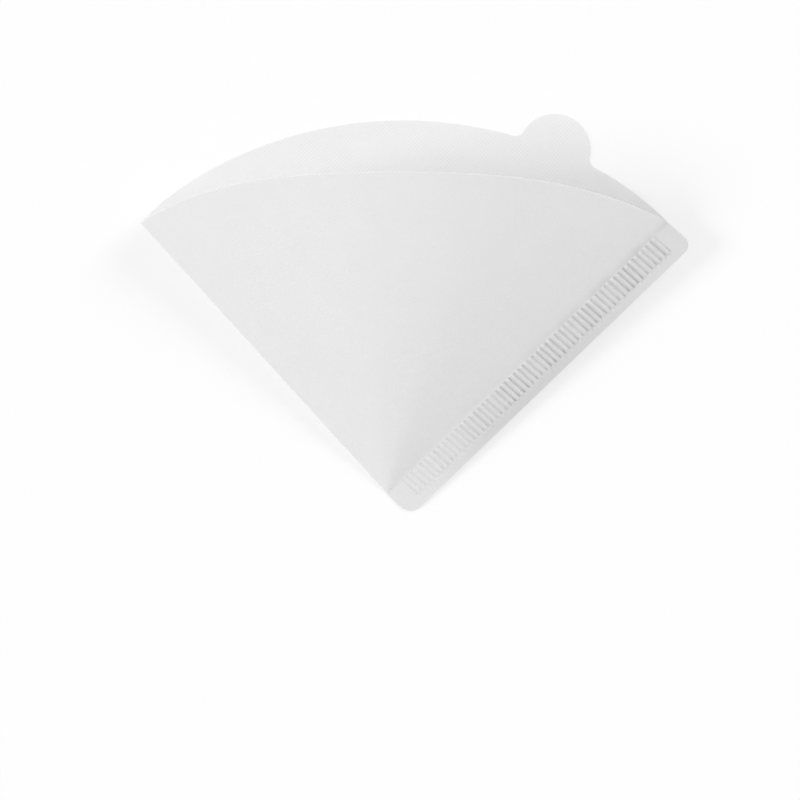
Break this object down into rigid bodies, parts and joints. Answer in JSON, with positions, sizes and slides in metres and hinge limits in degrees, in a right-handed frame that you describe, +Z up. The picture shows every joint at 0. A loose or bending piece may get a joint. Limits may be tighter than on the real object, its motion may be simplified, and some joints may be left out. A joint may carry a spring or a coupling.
{
  "type": "paper coffee filter",
  "caption": "Cone-shaped paper coffee filter, folded along one side and crimped along the other, with a round pull tab, opened and lying on its back.",
  "frame": {"origin": "centre of the bounding box, on the surface that the filter lies on", "axes": "+X across the mouth toward the crimped seam, +Y from the tip to the mouth, +Z up"},
  "size_m": [0.1672, 0.1272, 0.0459],
  "materials": {
    "paper": "matt white crepe filter paper"
  },
  "bodies": {
    "root": {"filter_paper": "paper"}
  },
  "joints": []
}
